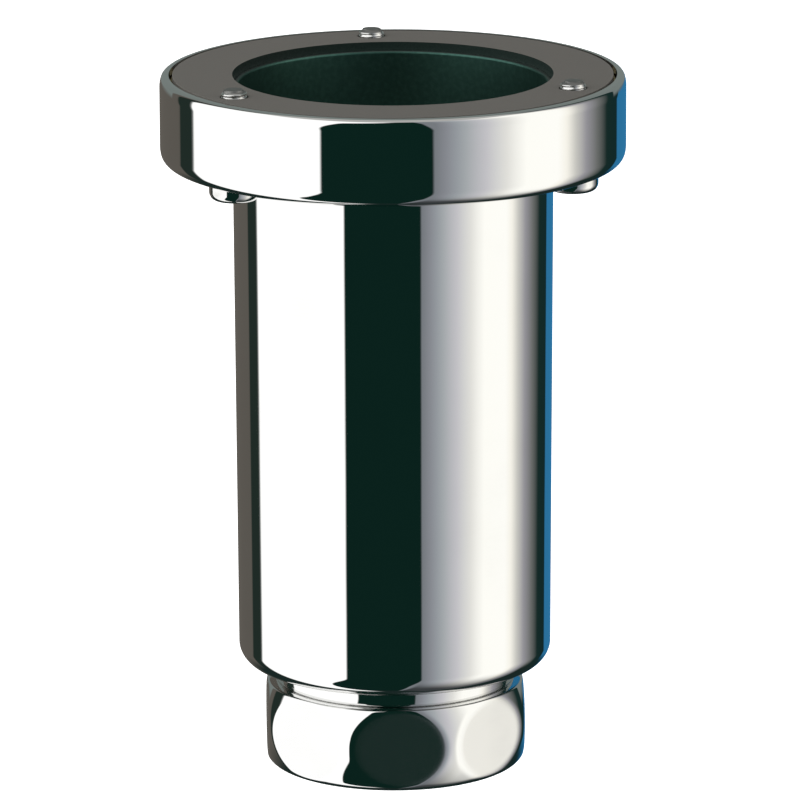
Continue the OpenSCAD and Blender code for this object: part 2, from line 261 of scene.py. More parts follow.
def ramp(tree, factor, stops):
    """The output of a colour ramp with stops of (position, colour)."""
    made = add(tree, "ShaderNodeValToRGB", {0: factor})
    elements = made.color_ramp.elements
    elements.remove(elements[1])
    elements[0].position = stops[0][0]
    elements[0].color = (*stops[0][1], 1)
    for position, colour in stops[1:]:
        element = elements.new(position)
        element.color = (*colour, 1)
    return made.outputs[0]


def mix(tree, factor, a, b):
    """The colour between a and b; each is a colour or an output."""
    inputs = {"Factor": factor}
    made = add(tree, "ShaderNodeMix", inputs, data_type="RGBA")
    for socket, value in ((made.inputs[6], a), (made.inputs[7], b)):
        if isinstance(value, bpy.types.NodeSocket):
            tree.links.new(value, socket)
        else:
            socket.default_value = (*value, 1)
    return made.outputs[2]


def span(tree, value, low, high, to_low=0.0, to_high=1.0):
    """value taken from low..high to to_low..to_high, and clamped there."""
    inputs = {0: value, 1: low, 2: high, 3: to_low, 4: to_high}
    return add(tree, "ShaderNodeMapRange", inputs, interpolation_type="SMOOTHSTEP").outputs[0]


def noise(tree, vector, scale, detail=3.0, roughness=0.5):
    """The factor of a noise texture."""
    inputs = {"Vector": vector, "Scale": scale, "Detail": detail, "Roughness": roughness}
    return add(tree, "ShaderNodeTexNoise", inputs).outputs["Fac"]


def stretched(tree, vector, scale):
    """vector with each of its axes scaled, for grain that runs one way."""
    return add(tree, "ShaderNodeMapping", {"Vector": vector, "Scale": scale}).outputs[0]


# ---------------------------------------------------------------- stage
def build_world():
    """A studio of tall cards and dark gaps for the reflections; the camera itself sees plain white."""
    world = bpy.data.worlds.new("studio")
    world.use_nodes = True
    tree = world.node_tree
    tree.nodes.clear()
    direction = add(tree, "ShaderNodeTexCoord").outputs["Generated"]
    x, y, z = add(tree, "ShaderNodeSeparateXYZ", {0: direction}).outputs
    bearing = calc(tree, "MULTIPLY", calc(tree, "ARCTAN2", x, calc(tree, "MULTIPLY", y, -1.0)), DEGREES)
    height = calc(tree, "MULTIPLY", calc(tree, "ARCSINE", z), DEGREES)
    turn = calc(tree, "MULTIPLY_ADD", bearing, 1 / 360, 0.5)
    cards = ramp(tree, turn, [(b / 360 + 0.5, colour) for b, colour in BANDS])

    flare = span(tree, height, *DOOR_FOOT, 0.0, -DOOR_FOOT_FLARE)
    lean = span(tree, height, *DOOR_HEAD, 0.0, DOOR_HEAD_LEAN)
    left = calc(tree, "ADD", calc(tree, "ADD", flare, lean), DOOR_LEFT)
    from_left = calc(tree, "SUBTRACT", bearing, left)
    left_edge = span(tree, from_left, -BAND_EDGE, BAND_EDGE)
    off_middle = calc(tree, "ABSOLUTE", calc(tree, "SUBTRACT", height, DOOR_MIDDLE))
    narrowed = calc(tree, "ADD", bearing, span(tree, off_middle, *DOOR_NARROW_FROM, 0.0, DOOR_NARROW))
    right_edge = span(tree, narrowed, DOOR_RIGHT + BAND_EDGE, DOOR_RIGHT - BAND_EDGE)
    room = mix(tree, calc(tree, "MULTIPLY", left_edge, right_edge), cards, DOOR)

    low, low_full, high_full, high = BLUE_HEIGHTS
    above_low = span(tree, height, low, low_full)
    below_high = span(tree, height, high, high_full)
    blue_side = span(tree, bearing, BLUE_LEFT - BAND_EDGE, BLUE_LEFT + BAND_EDGE)
    blue = calc(tree, "MULTIPLY", blue_side, calc(tree, "MULTIPLY", above_low, below_high))
    room = mix(tree, blue, room, BLUE)
    off_front = calc(tree, "ABSOLUTE", bearing)
    behind = span(tree, off_front, WALL_BEARING - BAND_EDGE, WALL_BEARING + BAND_EDGE)
    wall = calc(tree, "MULTIPLY", behind, span(tree, height, high_full, high))
    room = mix(tree, wall, room, WALL)
    past_door = span(tree, bearing, DOOR_RIGHT - LOW_RIGHT_EDGE, DOOR_RIGHT + LOW_RIGHT_EDGE)
    before_foot = span(tree, bearing, FOOT_BEARING + FOOT_EDGE, FOOT_BEARING - FOOT_EDGE)
    low_right = calc(tree, "MULTIPLY", past_door, span(tree, height, *LOW_RIGHT_FROM))
    low_right = calc(tree, "MULTIPLY", low_right, before_foot)
    room = mix(tree, low_right, room, LOW_RIGHT)
    low_behind = span(tree, off_front, FOOT_BEARING - FOOT_EDGE, FOOT_BEARING + FOOT_EDGE)
    low_behind = calc(tree, "MULTIPLY", low_behind, span(tree, height, *FOOT_FROM))
    room = mix(tree, low_behind, room, UNDERFOOT)
    room = mix(tree, span(tree, height, *OVERHEAD_FROM), room, OVERHEAD)
    room = mix(tree, span(tree, height, *UNDERFOOT_FROM), room, UNDERFOOT)
    seen = mix(tree, add(tree, "ShaderNodeLightPath").outputs["Is Camera Ray"], room, BACKDROP)
    background = add(tree, "ShaderNodeBackground", {"Color": seen, "Strength": 1.0})
    add(tree, "ShaderNodeOutputWorld", {"Surface": background.outputs[0]})
    bpy.context.scene.world = world


def build_floor():
    """A wide pale disc below the trap."""
    low = cad_box[0].z - FLOOR_DROP
    bm = bmesh.new()
    place = Matrix.Translation((0, 0, low))
    bmesh.ops.create_circle(bm, cap_ends=True, segments=96, radius=FLOOR_RADIUS, matrix=place)
    mesh = bpy.data.meshes.new("studio_floor")
    bm.to_mesh(mesh)
    bm.free()
    floor = bpy.data.objects.new("studio_floor", mesh)
    bpy.context.scene.collection.objects.link(floor)
    material = bpy.data.materials.new("pale_floor")
    material.use_nodes = True
    tree = material.node_tree
    place = add(tree, "ShaderNodeTexCoord").outputs["Object"]
    shade = mix(tree, noise(tree, place, 3.0), *FLOOR_TONES)
    surface = tree.nodes["Principled BSDF"]
    tree.links.new(shade, surface.inputs["Base Color"])
    surface.inputs["Roughness"].default_value = 0.9
    surface.inputs["Emission Color"].default_value = (1, 1, 1, 1)
    surface.inputs["Emission Strength"].default_value = FLOOR_GLOW
    mesh.materials.append(material)
    floor.visible_glossy = False


def build_light():
    """The one large soft light, aimed at the trap."""
    data = bpy.data.lights.new("soft_light", "AREA")
    data.shape = "DISK"
    data.size = LIGHT_SIZE
    data.energy = LIGHT_POWER
    light = bpy.data.objects.new("soft_light", data)
    light.location = LIGHT_PLACE
    light.rotation_euler = (AIM - light.location).to_track_quat("-Z", "Y").to_euler()
    light.visible_glossy = False
    bpy.context.scene.collection.objects.link(light)


def build_camera():
    """The camera, and plain colour management so that white stays white."""
    data = bpy.data.cameras.new("camera")
    data.lens = CAMERA_LENS
    data.sensor_width = CAMERA_SENSOR
    data.clip_end = 100
    camera = bpy.data.objects.new("camera", data)
    elevation = math.radians(CAMERA_ELEVATION)
    back = Vector((0, -math.cos(elevation), math.sin(elevation)))
    facing = (-back).to_track_quat("-Z", "Y").to_matrix().to_4x4()
    roll = Matrix.Rotation(math.radians(CAMERA_ROLL), 4, "Z")
    camera.matrix_world = Matrix.Translation(AIM + back * CAMERA_DISTANCE) @ facing @ roll
    bpy.context.scene.collection.objects.link(camera)
    bpy.context.scene.camera = camera
    bpy.context.scene.view_settings.view_transform = "Standard"


# ---------------------------------------------------------------- materials
def new_material(name, metallic, **settings):
    """A material with its tree, its shader and the object's coordinates."""
    material = bpy.data.materials.new(name)
    material.use_nodes = True
    tree = material.node_tree
    surface = tree.nodes["Principled BSDF"]
    surface.inputs["Metallic"].default_value = metallic
    for key, value in settings.items():
        surface.inputs[key.replace("_", " ")].default_value = value
    place = add(tree, "ShaderNodeTexCoord").outputs["Object"]
    return material, tree, surface, place


def round_place(tree, place):
    """Where a point lies on a turned shape: direction from the axis in x and y, height and radius."""
    x, y, z = add(tree, "ShaderNodeSeparateXYZ", {0: place}).outputs
    flat = add(tree, "ShaderNodeCombineXYZ", {0: x, 1: y, 2: 0.0}).outputs[0]
    radius = add(tree, "ShaderNodeVectorMath", {0: flat}, operation="LENGTH").outputs["Value"]
    outward = add(tree, "ShaderNodeVectorMath", {0: flat}, operation="NORMALIZE").outputs[0]
    ox, oy, _ = add(tree, "ShaderNodeSeparateXYZ", {0: outward}).outputs
    return ox, oy, z, radius


def turning_lines(tree, place, across, along=6.0):
    """Fine lines left by turning and polishing: quick across the axis, slow round it."""
    ox, oy, z, radius = round_place(tree, place)
    lines = add(
        tree,
        "ShaderNodeCombineXYZ",
        {
            0: calc(tree, "MULTIPLY", ox, along),
            1: calc(tree, "MULTIPLY", oy, along),
            2: calc(tree, "MULTIPLY", calc(tree, "ADD", z, radius), across),
        },
    ).outputs[0]
    return noise(tree, lines, 1.0, 2.0)


def bump(tree, surface, heights):
    """Chains bumps of (height output, distance in metres) into the shader's normal."""
    normal = None
    for height, distance in heights:
        inputs = {"Height": height, "Distance": distance, "Strength": 1.0}
        if normal is not None:
            inputs["Normal"] = normal
        normal = add(tree, "ShaderNodeBump", inputs).outputs[0]
    tree.links.new(normal, surface.inputs["Normal"])


def chrome(name, colour, sheen_low, sheen_high, inside=None, satin_flats=0.0):
    """Bright plate: nearly a mirror, with a slow wobble, faint polishing lines and a breath of smudge.

    inside is None, or the (radius, height) within and above which the plate is rougher and painted dark as
    shade, with random spots and a greyer painted shade on the lip's inner round. satin_flats is how much
    rougher the nut's flats are than its barrel, from the belt that they were ground on.
    """
    material, tree, surface, place = new_material(name, 1.0)
    cloud = noise(tree, place, 42.0, 3.0)
    lines = turning_lines(tree, place, 5200.0)
    smudge = calc(tree, "MULTIPLY", span(tree, cloud, 0.45, 0.75), span(tree, lines, 0.35, 0.7, 0.6, 1.0))
    tint = mix(tree, smudge, colour, tuple(0.965 * c for c in colour))
    shine = span(tree, smudge, 0.0, 1.0, sheen_low, sheen_high)
    if inside is not None:
        inside_r, inside_z = inside
        _, _, z, radius = round_place(tree, place)
        within = calc(tree, "LESS_THAN", radius, inside_r)
        within = calc(tree, "MULTIPLY", within, calc(tree, "GREATER_THAN", z, inside_z))
        # painted shade: inside the cup the colour is made dark green-black in random spots, and greyer on
        # the lip's inner round
        spots = span(tree, noise(tree, place, 900.0, 4.0), 0.35, 0.75)
        painted_shade = mix(tree, spots, *CUP_PAINTED_SHADE)
        on_round = span(tree, radius, inside_r - MOUTH_ROUND, inside_r - MOUTH_ROUND / 2)
        painted_shade = mix(tree, on_round, painted_shade, LIP_PAINTED_SHADE)
        tint = mix(tree, within, tint, painted_shade)
        shine = calc(tree, "ADD", shine, calc(tree, "MULTIPLY", within, CUP_DULL_ROUGHNESS))
    if satin_flats:
        x, y, _ = add(tree, "ShaderNodeSeparateXYZ", {0: place}).outputs
        step = TURN / NUT_FLATS
        angle = calc(tree, "SUBTRACT", calc(tree, "ARCTAN2", y, x), math.radians(NUT_ANGLE - 90))
        off = calc(tree, "WRAP", angle, step / 2, -step / 2)
        reach = calc(tree, "MULTIPLY", calc(tree, "COSINE", off), round_place(tree, place)[3])
        on_flat = span(tree, reach, *(NUT_AF / 2 - gap for gap in FLAT_EDGE))
        shine = calc(tree, "ADD", shine, calc(tree, "MULTIPLY", on_flat, satin_flats))
    tree.links.new(tint, surface.inputs["Base Color"])
    tree.links.new(shine, surface.inputs["Roughness"])
    wobble = noise(tree, place, 30.0, 1.0)
    bump(tree, surface, [(wobble, 0.04 * MM), (lines, 0.0002 * MM)])
    return material


def turned_metal(name, colour, dark, shine, across):
    """Turned metal without plate: lines round the axis, and patches where it has dulled."""
    material, tree, surface, place = new_material(name, 1.0)
    lines = turning_lines(tree, place, across)
    patches = span(tree, noise(tree, place, 120.0, 5.0, 0.6), 0.4, 0.7)
    fine = noise(tree, place, 1400.0, 2.0)
    tint = mix(tree, calc(tree, "MULTIPLY", patches, span(tree, fine, 0.3, 0.7, 0.5, 1.0)), colour, dark)
    tree.links.new(tint, surface.inputs["Base Color"])
    tree.links.new(calc(tree, "MULTIPLY_ADD", patches, 0.16, shine), surface.inputs["Roughness"])
    bump(tree, surface, [(lines, 0.004 * MM), (fine, 0.002 * MM)])
    return material


def cast_metal(name, colour, dark):
    """Sand-cast metal: a grainy skin, darker in the pits."""
    material, tree, surface, place = new_material(name, 1.0)
    grain = noise(tree, place, 1100.0, 4.0, 0.6)
    pits = add(tree, "ShaderNodeTexVoronoi", {"Vector": place, "Scale": 700.0}).outputs["Distance"]
    tint = mix(tree, span(tree, grain, 0.35, 0.65), dark, colour)
    tree.links.new(tint, surface.inputs["Base Color"])
    tree.links.new(span(tree, grain, 0.3, 0.7, 0.62, 0.42), surface.inputs["Roughness"])
    bump(tree, surface, [(grain, 0.08 * MM), (pits, 0.06 * MM)])
    return material


def plated_steel(name, colour, dark, cut_from):
    """Zinc-plated steel: bright, faintly spangled, with a few handling marks.

    It is less bright on the thread above the flange, and dull above cut_from, where the end was cut.
    """
    material, tree, surface, place = new_material(name, 1.0)
    cells = add(tree, "ShaderNodeTexVoronoi", {"Vector": place, "Scale": 1500.0}).outputs["Color"]
    spangle = add(tree, "ShaderNodeSeparateXYZ", {0: cells}).outputs[0]
    marks = span(tree, noise(tree, place, 260.0, 3.0, 0.5), 0.5, 0.8)
    tint = mix(tree, marks, mix(tree, spangle, colour, tuple(0.96 * c for c in colour)), dark)
    height = round_place(tree, place)[2]
    cut = span(tree, height, cut_from - 0.1 * MM, cut_from + 0.1 * MM)
    tint = mix(tree, cut, tint, tuple(0.45 * c for c in dark))
    on_thread = calc(tree, "GREATER_THAN", height, 0.0)
    shine = calc(tree, "MULTIPLY_ADD", on_thread, 0.16, calc(tree, "MULTIPLY_ADD", marks, 0.1, 0.06))
    tree.links.new(tint, surface.inputs["Base Color"])
    tree.links.new(calc(tree, "MULTIPLY_ADD", cut, 0.3, shine), surface.inputs["Roughness"])
    bump(tree, surface, [(marks, 0.003 * MM), (spangle, 0.0004 * MM)])
    return material


def rubber(name, colour, speck, bloom, edges=None):
    """Moulded rubber: a matt skin with fine pores, pale specks and slow clouds.

    edges is None, or the (inner, outer) radius of a flat ring whose two edges are painted paler as a
    highlight, and whose inner wall is painted dark as shade.
    """
    material, tree, surface, place = new_material(name, 0.0, Specular_IOR_Level=0.3)
    pores = noise(tree, place, 2600.0, 3.0, 0.6)
    clouds = noise(tree, place, 70.0, 3.0)
    tint = mix(tree, span(tree, pores, 0.35, 0.7), colour, speck)
    tint = mix(tree, span(tree, clouds, 0.35, 0.7, 0.0, 0.5), tint, bloom)
    if edges is not None:
        inner, outer = edges
        radius = round_place(tree, place)[3]
        # painted highlight: both edges of the ring are made paler, as if their rounds caught the light
        highlight_in = span(tree, radius, inner + EDGE_HIGHLIGHT_WIDTH, inner)
        highlight_out = span(tree, radius, outer - EDGE_HIGHLIGHT_WIDTH, outer)
        tint = mix(tree, calc(tree, "MAXIMUM", highlight_in, highlight_out), tint, tuple(1.3 * c for c in colour))
        # painted shade: the ring's inner wall is made dark
        tint = mix(tree, calc(tree, "LESS_THAN", radius, inner + GASKET_WALL_SHADE_DEPTH), tint, GASKET_WALL_SHADE)
    tree.links.new(tint, surface.inputs["Base Color"])
    tree.links.new(span(tree, pores, 0.3, 0.7, 0.62, 0.85), surface.inputs["Roughness"])
    bump(tree, surface, [(pores, 0.03 * MM), (clouds, 0.05 * MM)])
    return material


def plastic(name, colour, shade, shine):
    """Moulded plastic: a faint orange peel, flow marks along the moulding, and a slow change of tone."""
    material, tree, surface, place = new_material(name, 0.0)
    flow = noise(tree, stretched(tree, place, (260.0, 260.0, 40.0)), 1.0, 3.0)
    peel = noise(tree, place, 900.0, 2.0)
    tint = mix(tree, span(tree, flow, 0.3, 0.75), colour, shade)
    tree.links.new(tint, surface.inputs["Base Color"])
    tree.links.new(span(tree, peel, 0.3, 0.7, shine, shine + 0.14), surface.inputs["Roughness"])
    bump(tree, surface, [(peel, 0.012 * MM), (flow, 0.02 * MM)])
    return material


def fibre(name, colour, dark):
    """Pressed fibre: crossed strands under a dry surface."""
    material, tree, surface, place = new_material(name, 0.0)
    one = noise(tree, stretched(tree, place, (300.0, 2600.0, 2600.0)), 1.0, 3.0)
    other = noise(tree, stretched(tree, place, (2600.0, 300.0, 2600.0)), 1.0, 3.0)
    strands = calc(tree, "MAXIMUM", one, other)
    tree.links.new(mix(tree, span(tree, strands, 0.45, 0.75), dark, colour), surface.inputs["Base Color"])
    surface.inputs["Roughness"].default_value = 0.8
    bump(tree, surface, [(strands, 0.05 * MM)])
    return material


# ---------------------------------------------------------------- meshes
def arc(centre_r, centre_z, radius, start, end, steps):
    """Points of (r, z) on an arc, from start to end in degrees; 0 points outwards and 90 up."""
    points = []
    for i in range(steps + 1):
        a = math.radians(start + (end - start) * i / steps)
        points.append((centre_r + radius * math.cos(a), centre_z + radius * math.sin(a)))
    return points


def line(start, end, steps):
    """Points of (r, z) along a straight line, without its last one."""
    return [
        (start[0] + (end[0] - start[0]) * i / steps, start[1] + (end[1] - start[1]) * i / steps)
        for i in range(steps)
    ]


def wall(start, end):
    """Points of (r, z) on a straight side; one close to each end keeps its shading flat between them."""
    share = 0.2 * MM / math.dist(start, end)
    return [tuple(a + (b - a) * t for a, b in zip(start, end)) for t in (0, share, 0.5, 1 - share, 1)]


def turned(name, outline, segments, placements=(Matrix.Identity(4),), crease=34):
    """A closed outline of (r, z, shape) turned about Z, once at each placement.

    shape is None, or a function of (r, z, angle) that gives the point's own (r, z).
    """
    bm = bmesh.new()
    for placement in placements:
        grid = []
        for r, z, shape in outline:
            row = []
            for s in range(segments):
                angle = TURN * s / segments
                radius, height = shape(r, z, angle) if shape else (r, z)
                point = Vector((radius * math.cos(angle), radius * math.sin(angle), height))
                row.append(bm.verts.new(placement @ point))
            grid.append(row)
        for i, row in enumerate(grid):
            below = grid[i - 1]
            for s in range(segments):
                t = (s + 1) % segments
                bm.faces.new((below[s], below[t], row[t], row[s]))
    bmesh.ops.remove_doubles(bm, verts=bm.verts, dist=1e-7)
    bmesh.ops.dissolve_degenerate(bm, edges=bm.edges, dist=1e-7)
    bmesh.ops.recalc_face_normals(bm, faces=bm.faces)
    mesh = bpy.data.meshes.new(name)
    bm.to_mesh(mesh)
    bm.free()
    mesh.shade_smooth()
    mesh.set_sharp_from_angle(angle=math.radians(crease))
    piece = bpy.data.objects.new(name, mesh)
    bpy.context.scene.collection.objects.link(piece)
    return piece


def plain(points):
    """Outline points with no shape of their own."""
    return [(r, z, None) for r, z in points]


def shaped(points, shape):
    """Outline points that all follow one shape."""
    return [(r, z, shape) for r, z in points]


def helix(pitch, depth, low, high, fade):
    """The shape of a thread cut inwards by depth (outwards if negative) that fades out at both ends."""

    def shape(r, z, angle):
        phase = (z / pitch - angle / TURN) % 1
        flank = min(1.0, max(0.0, (0.5 - CREST_LAND - abs(phase - 0.5)) / FLANK))
        ease = min(1.0, max(0.0, (z - low) / fade), max(0.0, (high - z) / fade))
        return r - depth * flank * max(0.0, ease), z

    return shape


def finish_piece(piece, body, slot, material, *nodes):
    """Gives a piece its material and its body, and hides the CAD nodes that it stands for."""
    piece.data.materials.append(material)
    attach(piece, body)
    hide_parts(*nodes)


def screw_places(turn=0.0, turn_step=0.0):
    """The places of the flange screws, each turned a step further about its own axis."""
    places = []
    for i in range(SCREW_COUNT):
        bearing = Matrix.Rotation(math.radians(SCREW_ANGLE + i * 360 / SCREW_COUNT), 4, "Z")
        spin = Matrix.Rotation(math.radians(turn + i * turn_step), 4, "Z")
        places.append(bearing @ Matrix.Translation((SCREW_CIRCLE_R, 0, 0)) @ spin)
    return places


def cut_away(piece, bm, crease):
    """Cuts the closed shapes in bm out of a piece, and shades it again."""
    cutter_mesh = bpy.data.meshes.new("cutter")
    bm.to_mesh(cutter_mesh)
    bm.free()
    cutter = bpy.data.objects.new("cutter", cutter_mesh)
    bpy.context.scene.collection.objects.link(cutter)
    cut = piece.modifiers.new("cut", "BOOLEAN")
    cut.operation = "DIFFERENCE"
    cut.object = cutter
    whole = piece.data
    graph = bpy.context.evaluated_depsgraph_get()
    piece.data = bpy.data.meshes.new_from_object(piece.evaluated_get(graph))
    piece.modifiers.remove(cut)
    bpy.data.meshes.remove(whole)
    bpy.data.meshes.remove(cutter_mesh)
    piece.data.shade_smooth()
    piece.data.set_sharp_from_angle(angle=math.radians(crease))


def build_cover(material):
    """The flange cover: its side curves in softly at the rim and the foot; its floor has the screw holes."""
    low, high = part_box("flange_cover")
    outer_r = high.x
    inner_r = outer_r - COVER_T
    soft_centre_r = outer_r - COVER_SOFT_ROUND
    turn = math.radians(COVER_SOFT_TURN)
    rim_centre_z = high.z - COVER_RIM_ROUND
    soft_centre_z = rim_centre_z - (COVER_SOFT_ROUND - COVER_RIM_ROUND) * math.sin(turn)
    rim_centre_r = soft_centre_r + (COVER_SOFT_ROUND - COVER_RIM_ROUND) * math.cos(turn)
    foot_turn = math.radians(COVER_FOOT_TURN)
    foot_reach = COVER_SOFT_ROUND - COVER_LOWER_ROUND
    lower_centre = (soft_centre_r + foot_reach * math.cos(foot_turn), low.z + COVER_LOWER_ROUND)
    foot_centre_z = lower_centre[1] + foot_reach * math.sin(foot_turn)
    inner_round = COVER_LOWER_ROUND - COVER_T
    floor_z = low.z + COVER_T
    points = (
        wall((COVER_HOLE_R, floor_z), (COVER_HOLE_R, low.z))
        + wall((COVER_HOLE_R, low.z), (lower_centre[0], low.z))[1:-1]
        + arc(*lower_centre, COVER_LOWER_ROUND, -90, -COVER_FOOT_TURN, 36)
        + arc(soft_centre_r, foot_centre_z, COVER_SOFT_ROUND, -COVER_FOOT_TURN, 0, 16)[1:]
        + wall((outer_r, foot_centre_z), (outer_r, soft_centre_z))[1:-1]
        + arc(soft_centre_r, soft_centre_z, COVER_SOFT_ROUND, 0, COVER_SOFT_TURN, 16)
        + arc(rim_centre_r, rim_centre_z, COVER_RIM_ROUND, COVER_SOFT_TURN, 90, 24)[1:]
        + wall((rim_centre_r, high.z), (inner_r, high.z))[1:]
        + wall((inner_r, high.z), (inner_r, floor_z + inner_round))[1:-1]
        + arc(inner_r - inner_round, floor_z + inner_round, inner_round, 0, -90, 8)
    )
    piece = turned("flange_cover_polished", plain(points), 384, crease=50)
    bm = bmesh.new()
    for place in screw_places():
        matrix = place @ Matrix.Translation((0, 0, low.z))
        bmesh.ops.create_cone(
            bm,
            cap_ends=True,
            segments=48,
            radius1=SCREW_HOLE_R,
            radius2=SCREW_HOLE_R,
            depth=6 * MM,
            matrix=matrix,
        )
    cut_away(piece, bm, 50)
    finish_piece(piece, "trap_body", "chrome_flange", material, "flange_cover")


def build_cup(material):
    """The drawn cup, with its lip turned out at the top and its lower edge rounded."""
    low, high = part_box("body_cup")
    top, floor_z = high.z, low.z + CUP_FLOOR
    narrow_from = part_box("flange_cover")[0].z
    inner_r, inner_low_r = CUP_R - CUP_WALL, CUP_LOW_R - CUP_WALL
    inner_round = CUP_ROUND - CUP_WALL
    mouth = (inner_r + MOUTH_ROUND, top - MOUTH_ROUND)
    inner_centre = (inner_low_r - inner_round, floor_z + inner_round)
    outer_centre = (CUP_LOW_R - CUP_ROUND, low.z + CUP_ROUND)
    points = (
        [(LIP_R, top - CUP_WALL), (LIP_R, top)]
        + wall((LIP_R, top), (mouth[0], top))[1:-1]
        + arc(*mouth, MOUTH_ROUND, 90, 180, 16)
        + wall((inner_r, mouth[1]), (inner_r, narrow_from))[1:]
        + wall((inner_r, narrow_from), (inner_low_r, inner_centre[1]))[1:-1]
        + arc(*inner_centre, inner_round, 0, -90, 20)
        + [(CUP_HOLE_R, floor_z), (CUP_HOLE_R, low.z)]
        + wall((CUP_HOLE_R, low.z), (outer_centre[0], low.z))[1:-1]
        + arc(*outer_centre, CUP_ROUND, -90, 0, 48)
        + wall((CUP_LOW_R, outer_centre[1]), (CUP_R, narrow_from))[1:]
        + [(CUP_R, top - CUP_WALL)]
    )
    piece = turned("body_cup_polished", plain(points), 384, crease=50)
    finish_piece(piece, "trap_body", "chrome_body", material, "body_cup")


def build_screws(material):
    """Slotted pan-head screws with a rolled thread on the tip."""
    low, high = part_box("flange_screws")
    top, head_low = high.z, low.z
    head_high = head_low + HEAD_H

    thread = helix(SCREW_PITCH, SCREW_THREAD_DEPTH, 0.0, top + SCREW_PITCH, 0.25 * MM)
    end_r = SCREW_R - SCREW_TIP_CHAMFER
    tip_side = line((SCREW_R, 0.0), (SCREW_R, top - SCREW_TIP_CHAMFER), 18)
    tip_end = line((SCREW_R, top - SCREW_TIP_CHAMFER), (end_r, top), 12)
    outline = (
        plain([(0.0, head_low)])
        + plain(arc(HEAD_R - HEAD_ROUND, head_low + HEAD_ROUND, HEAD_ROUND, -90, 0, 16))
        + plain([(HEAD_R, head_high - HEAD_BEVEL), (HEAD_R - HEAD_BEVEL, head_high)])
        + plain([(SCREW_SHANK_R, head_high), (SCREW_SHANK_R, -SCREW_RUN_IN)])
        + shaped(tip_side + tip_end, thread)
        + plain([(end_r - HEAD_BEVEL, top - SCREW_END_DROP), (0.0, top - SCREW_END_DROP)])
    )
    placements = screw_places(SLOT_TURN, SLOT_TURN_STEP)
    piece = turned("flange_screws_threaded", outline, 96, placements, crease=24)
    bm = bmesh.new()
    size = Matrix.Diagonal((3 * HEAD_R, SLOT_W, 2 * SLOT_DEPTH, 1))
    for placement in placements:
        bmesh.ops.create_cube(bm, size=1, matrix=placement @ Matrix.Translation((0, 0, head_low)) @ size)
    cut_away(piece, bm, 24)
    finish_piece(piece, "trap_body", "screw_steel", material, "flange_screws")


def build_spigot(material):
    """The outlet: a real thread below the collar, the seal's groove, and the neck inside the cup."""
    low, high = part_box("outlet_spigot")
    floor_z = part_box("body_cup")[0].z
    collar_z = floor_z - COLLAR_H
    thread_low, thread_high = low.z + OUTLET_CHAMFER, collar_z - OUTLET_RUN_OUT
    root_r = OUTLET_THREAD_R - OUTLET_DEPTH
    outer = helix(OUTLET_PITCH, OUTLET_DEPTH, low.z - OUTLET_PITCH, thread_high, OUTLET_FADE)
    neck_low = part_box("back_nut")[0].z
    neck = helix(NECK_PITCH, NECK_DEPTH, neck_low, high.z + NECK_PITCH, NECK_FADE)
    rows = 110
    outline = (
        plain([(PIPE_BORE_R + SEAT_BEVEL, low.z)])
        + plain([(root_r - 0.1 * MM, low.z)])
        + shaped([(OUTLET_THREAD_R - 0.02 * MM, thread_low)], outer)
        + shaped(line((OUTLET_THREAD_R, thread_low), (OUTLET_THREAD_R, thread_high), rows), outer)
        + plain([(OUTLET_THREAD_R, thread_high), (root_r, thread_high), (root_r, collar_z)])
        + plain(arc(COLLAR_R - COLLAR_ROUND, collar_z + COLLAR_ROUND, COLLAR_ROUND, -90, 0, 6))
        + plain(arc(COLLAR_R - COLLAR_ROUND, floor_z - COLLAR_ROUND, COLLAR_ROUND, 0, 90, 6))
        + plain([(SEAL_GROOVE_OUT_R, floor_z), (SEAL_GROOVE_OUT_R, floor_z - SEAL_GROOVE_H)])
        + plain([(SEAL_GROOVE_IN_R, floor_z - SEAL_GROOVE_H), (SEAL_GROOVE_IN_R, floor_z)])
        + plain([(NECK_R, floor_z), (NECK_R, neck_low)])
        + shaped(line((NECK_R, neck_low), (NECK_R, high.z), 90), neck)
        + shaped([(NECK_R, high.z)], neck)
        + plain([(COUNTERBORE_R + EDGE_BEVEL, high.z), (COUNTERBORE_R, high.z - EDGE_BEVEL)])
        + plain([(COUNTERBORE_R, floor_z + COUNTERBORE_LIFT), (STANDPIPE_R, floor_z + COUNTERBORE_LIFT)])
        + plain([(STANDPIPE_R, collar_z), (PIPE_BORE_R, collar_z)])
        + plain([(PIPE_BORE_R, low.z + SEAT_BEVEL_H)])
    )
    piece = turned("outlet_spigot_threaded", outline, 160, crease=24)
    finish_piece(piece, "trap_body", "chrome_outlet", material, "outlet_spigot")


